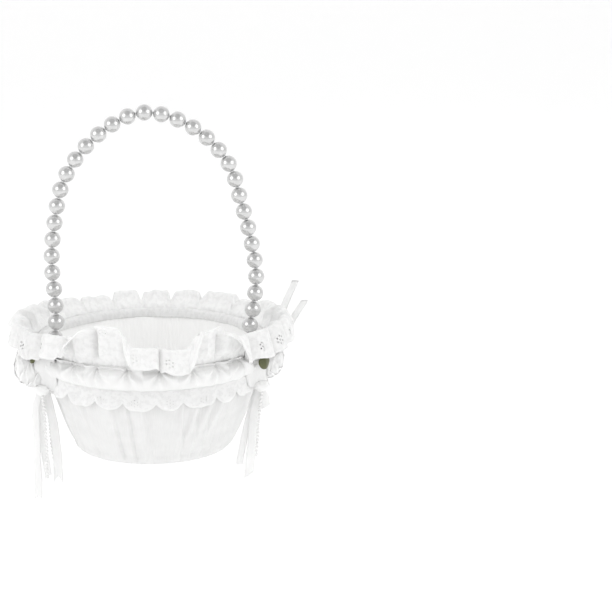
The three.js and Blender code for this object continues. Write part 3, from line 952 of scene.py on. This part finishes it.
# Routes as (x, z) at a depth, like the frame's own tubes but starting higher, inside the knots.
tails = {
    "leftRibbonLong": {
        "node": "left_ribbon_long", "body": "left_streamers", "width": 5.0, "depth": -33.0, "notch": 2.5,
        "route": [
            (-80.6, 49), (-83.6, 39.6), (-84, 26), (-83.5, 13.7), (-83.9, 1.8), (-83.2, -13.8), (-83.6, -31),
        ],
    },
    "leftRibbonShort": {
        "node": "left_ribbon_short", "body": "left_streamers", "width": 5.0, "depth": -30.5, "slant": 3.0,
        "route": [(-79.2, 51), (-79.6, 36), (-80, 24), (-79.6, 9), (-77.8, -2), (-76, -16)],
    },
    "leftRibbonForked": {
        "node": "left_ribbon_forked", "body": "left_streamers", "width": 6.5, "depth": -28.0, "notch": 4.5,
        "route": [(-77, 51), (-74, 36.7), (-71.6, 24), (-70.2, 9.2), (-69.3, -2), (-69, -20)],
    },
    "rightRibbonWide": {
        "node": "right_ribbon_wide", "body": "right_streamers", "width": 6.5, "depth": -30.5, "slant": 5.0,
        "route": [(78, 51), (75.6, 40), (73.6, 30.5), (72.6, 17.5), (71.3, 2.5), (69.5, -19)],
    },
    "rightRibbonNarrow": {
        "node": "right_ribbon_narrow", "body": "right_streamers", "width": 5.0, "depth": -28.0, "slant": -3.0,
        "route": [(77, 51), (72.4, 36), (68.4, 21), (65.5, 6), (62.6, -9)],
    },
    "rightRibbonShort": {
        "node": "right_ribbon_short", "body": "right_streamers", "width": 6.5, "depth": -33.0, "slant": 3.5,
        "route": [(79.2, 49), (81.4, 42), (82, 33.5)],
    },
}
strands = {
    "leftStrandLong": {
        "node": "left_strand_long", "body": "left_pearl_strands", "depth": -35.5,
        "route": [(-79.2, 51), (-77.6, 36), (-77, 20), (-76.4, 6), (-77, -8), (-76.2, -17)],
    },
    "leftStrandShort": {
        "node": "left_strand_short", "body": "left_pearl_strands", "depth": -25.0,
        "route": [(-77, 51), (-75, 34), (-74.2, 18), (-73.4, 6), (-72, -4)],
    },
    "rightStrand": {
        "node": "right_strand", "body": "right_pearl_strand", "depth": -35.5,
        "route": [(79.2, 51), (77.8, 36), (76.6, 22), (75.8, 10), (74.8, -2)],
    },
}
strandBeads = {"diameter": 2.4, "thread": 0.35, "pitch": 2.75, "perBead": 12, "columns": 12}


def makeTail(name, s):
    line, length = smoothLine([(x, s["depth"], z) for x, z in s["route"]], 60)
    t = np.linspace(0, 1, len(line))
    twist = 0.25 * np.sin(2.4 * np.pi * t + len(name)) * t
    ways = np.stack([np.cos(twist), np.sin(twist), 0 * twist], axis=-1)
    piece = ribbonMesh(name, line, ways, s["width"], s.get("slant", 0.0), s.get("notch", 0.0))
    settle(piece, s["body"], "ribbon", s["node"])
    return piece, line, length


tailPieces = {}
for name, s in tails.items():
    tailPieces[name] = makeTail(name, s)
for name, (piece, line, length) in tailPieces.items():
    if name == "rightRibbonShort":
        continue


# A strand: a tube whose radius is a row of half circles, one for each small pearl, joined by thin thread.
def makeStrand(name, s):
    line, length = smoothLine([(x, s["depth"], z) for x, z in s["route"]], 200)
    beads = int(length / strandBeads["pitch"])
    rows = beads * strandBeads["perBead"] + 1
    at = np.linspace(0, beads * strandBeads["pitch"], rows)
    gone = np.linspace(0, length, len(line))
    middle = np.stack([np.interp(at, gone, line[:, i]) for i in range(3)], axis=-1)
    offCentre = at % strandBeads["pitch"] - strandBeads["pitch"] / 2
    half = strandBeads["diameter"] / 2
    radius = np.maximum(np.sqrt(np.clip(half ** 2 - offCentre ** 2, 0, None)), strandBeads["thread"])
    angle = aroundAngles(strandBeads["columns"])
    radius = radius[:, None]
    ring = np.stack([radius * np.cos(angle), radius * np.sin(angle), 0 * radius * angle], axis=-1)
    points = middle[:, None, :] + ring
    points = np.concatenate([middle[:1, None, :] + 0 * ring[:1], points, middle[-1:, None, :] + 0 * ring[:1]])
    piece = gridMesh(name, points, beadCoat, around=True, flip=True)
    settle(piece, s["body"], "pearl", s["node"])


for name, s in strands.items():
    makeStrand(name, s)
print("ribbons and strands hung")

stage = {"floor": -42.0, "width": 8000, "front": -3000, "back": 1500, "bend": 700, "wall": 3000, "white": 0.8,
         "glow": 0.32}


# A pale floor that turns up by a quarter of a circle into a backdrop.
def addStage(s):
    turn = np.linspace(0, np.pi / 2, 24)
    depth = np.concatenate([[s["front"]], s["back"] + s["bend"] * np.sin(turn), [s["back"] + s["bend"]]])
    height = s["floor"] + np.concatenate([[0], s["bend"] * (1 - np.cos(turn)), [s["wall"]]])
    x = np.array([-0.5, 0.5])[None, :] * s["width"]
    points = np.stack([x + 0 * depth[:, None], depth[:, None] + 0 * x, height[:, None] + 0 * x], axis=-1)
    material, _, shader = newMaterial("paleFloor")
    shader.inputs["Base Color"].default_value = (s["white"],) * 3 + (1,)
    shader.inputs["Roughness"].default_value = 0.9
    shader.inputs["Emission Color"].default_value = (1, 1, 1, 1)
    shader.inputs["Emission Strength"].default_value = s["glow"]
    gridMesh("backdrop", points, material)


lights = {
    "leftSoftbox": {"at": (-970, -640, 650), "size": 920, "power": 2.7},
    "rightSoftbox": {"at": (970, -640, 650), "size": 920, "power": 2.5},
    "overhead": {"at": (0, -260, 900), "size": 700, "power": 1.6, "unseen": True},  # keeps off the pearls
}


def addLights():
    for name, s in lights.items():
        data = bpy.data.lights.new(name, "AREA")
        data.shape = "DISK"
        data.size = s["size"] * 0.001
        data.energy = s["power"]
        light = bpy.data.objects.new(name, data)
        light.location = Vector(inFrame(s["at"]))
        light.visible_glossy = not s.get("unseen", False)
        towards = Vector(inFrame((0, 0, 90))) - light.location
        light.rotation_euler = towards.to_track_quat("-Z", "Y").to_euler()
        bpy.context.scene.collection.objects.link(light)


# Light from all round, with a dim patch high in front, and a narrower one under it between the softboxes,
# where the room is. The pearls show both.
studio = {"strength": 0.86, "dim": 0.5, "patches": [(64.0, 26.0, 40.0), (34.0, 9.0, 20.0)]}


def addWorld(s):
    world = bpy.data.worlds.new("studio")
    world.use_nodes = True
    tree = world.node_tree
    background = tree.nodes["Background"]
    where = tree.nodes.new("ShaderNodeTexCoord").outputs["Generated"]
    patch = 0.0
    for up, inner, outer in s["patches"]:
        facing = tree.nodes.new("ShaderNodeVectorMath")
        facing.operation = "DOT_PRODUCT"
        tree.links.new(where, facing.inputs[0])
        facing.inputs[1].default_value = (0, -math.cos(math.radians(up)), math.sin(math.radians(up)))
        patch = calc(tree, "MAXIMUM", patch, fadeBetween(
            tree, facing.outputs["Value"], math.cos(math.radians(outer)), math.cos(math.radians(inner))))
    background.inputs["Color"].default_value = (1, 1, 1, 1)
    tree.links.new(calc(tree, "MULTIPLY_ADD", patch, s["dim"] - s["strength"], s["strength"]),
                   background.inputs["Strength"])
    bpy.context.scene.world = world
    bpy.context.scene.view_settings.view_transform = "Standard"
    bpy.context.scene.view_settings.look = "None"


addStage(stage)
addLights()
addWorld(studio)
print("stage lit")
